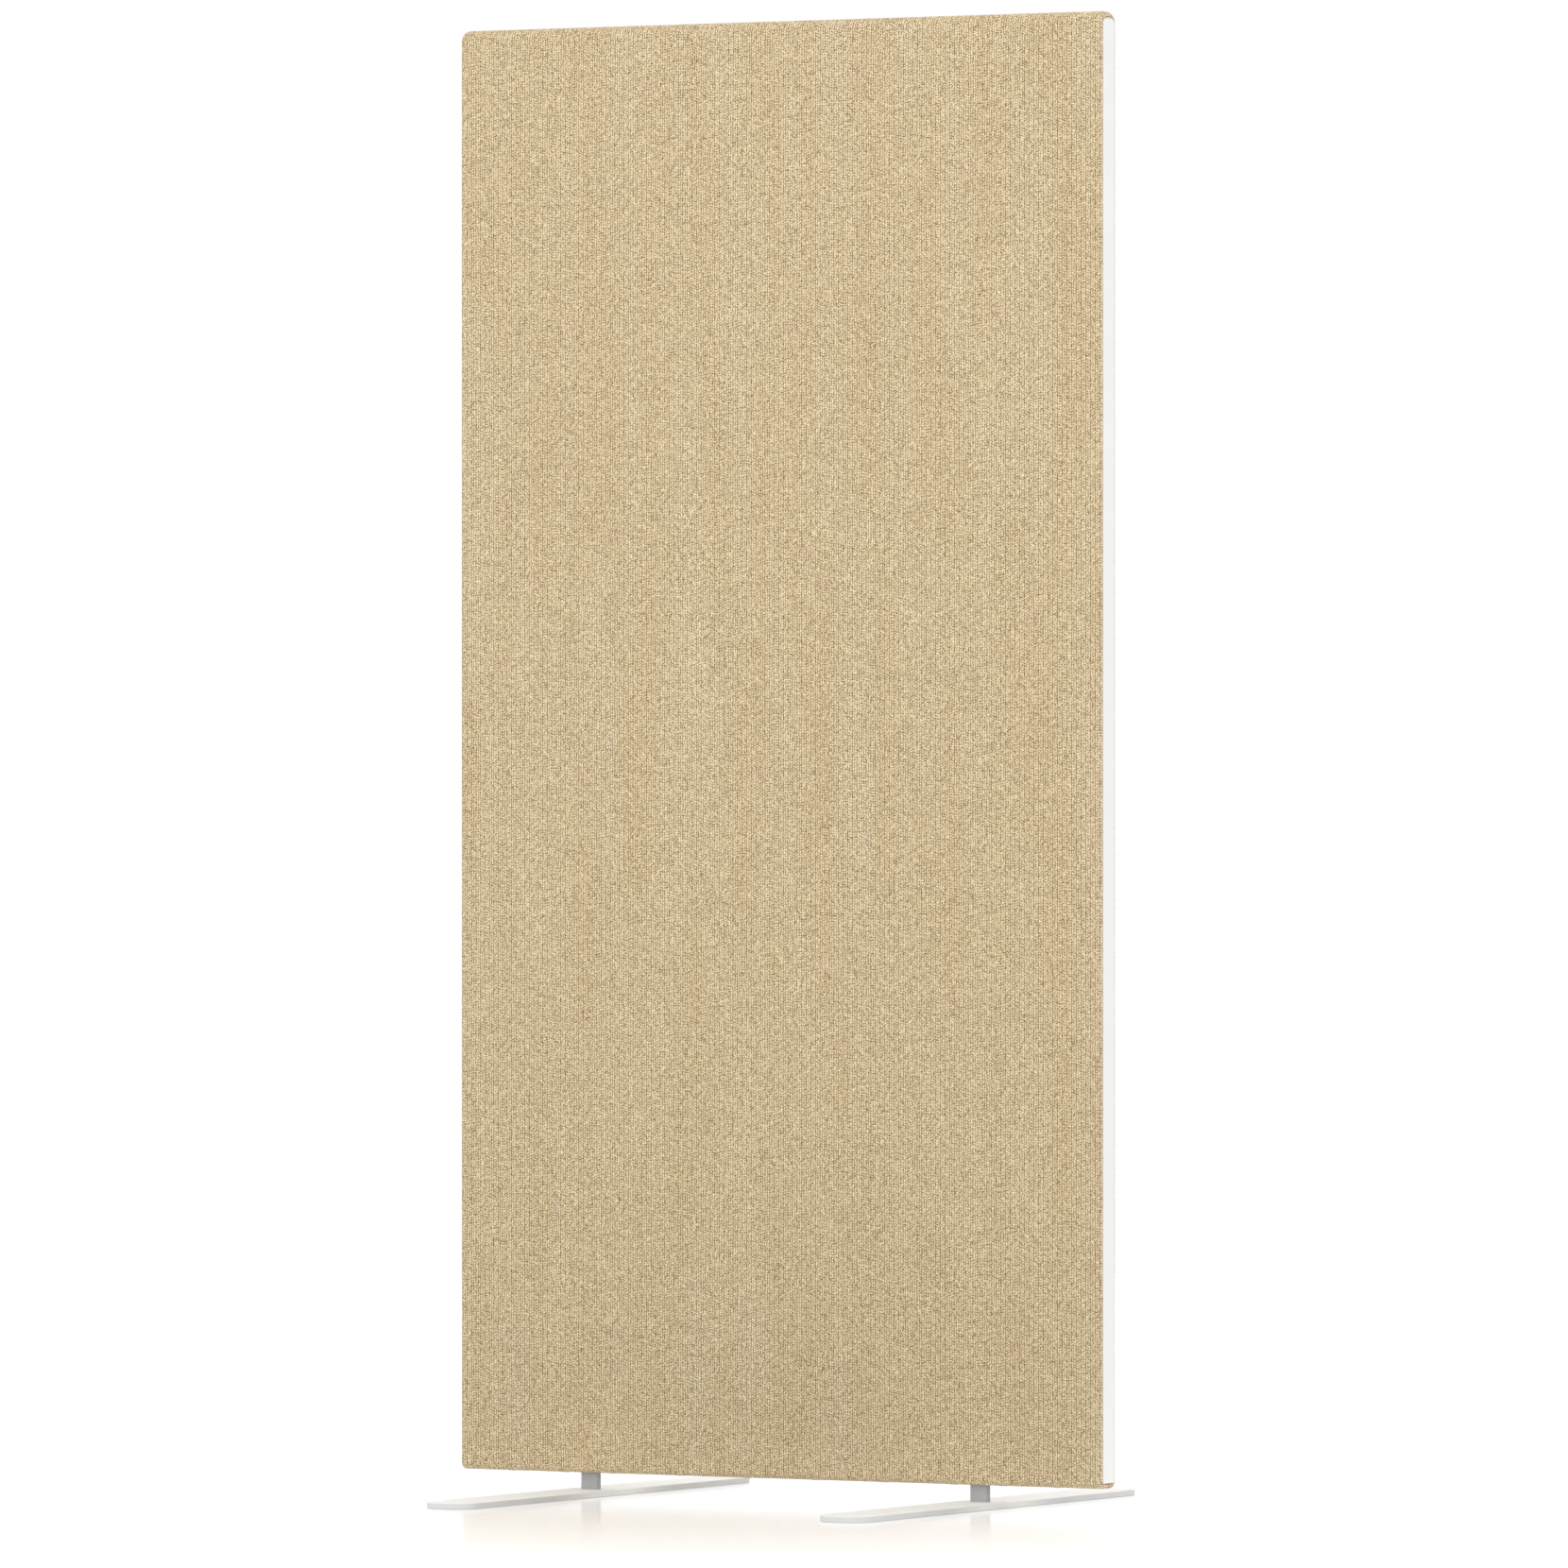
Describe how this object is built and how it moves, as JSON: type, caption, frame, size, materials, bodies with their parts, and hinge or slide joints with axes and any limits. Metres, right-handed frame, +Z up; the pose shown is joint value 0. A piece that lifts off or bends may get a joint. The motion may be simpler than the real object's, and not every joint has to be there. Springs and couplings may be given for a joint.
{
  "type": "office floor screen",
  "caption": "Free-standing upholstered floor screen: a tall flat fabric-covered panel with rounded top, side edge strips and two flat steel feet.",
  "frame": {"origin": "on the floor, under the middle of the panel and midway between the feet", "axes": "+Z up, +X to the right across the panel seen from the front, +Y from the front face to the rear face"},
  "size_m": [0.8, 0.62, 1.6],
  "materials": {
    "cover_fabric": "ribbed knit, matte",
    "wadding": "soft polyester wadding",
    "acoustic_felt": "needled polyester felt",
    "frame_pine": "planed, untreated",
    "strip_plastic": "satin white extrusion",
    "zinc_steel": "bright zinc plated",
    "post_paint": "silver grey powder coat, satin",
    "foot_paint": "white powder coat, satin",
    "pad_rubber": "matte"
  },
  "bodies": {
    "root": {"fabric_cover": "cover_fabric", "wadding": "wadding", "core_slab_1": "acoustic_felt", "core_slab_2": "acoustic_felt", "core_slab_3": "acoustic_felt", "stile_left": "frame_pine", "stile_right": "frame_pine", "top_rail": "frame_pine", "cross_rail_1": "frame_pine", "cross_rail_2": "frame_pine", "bottom_rail": "frame_pine", "edge_strip_left": "strip_plastic", "edge_strip_right": "strip_plastic", "cover_staples": "zinc_steel", "post_left": "post_paint", "post_right": "post_paint", "post_pins": "zinc_steel", "foot_bar_left": "foot_paint", "foot_bar_right": "foot_paint", "foot_screws": "zinc_steel", "glide_pads_left": "pad_rubber", "glide_pads_right": "pad_rubber"}
  },
  "joints": []
}
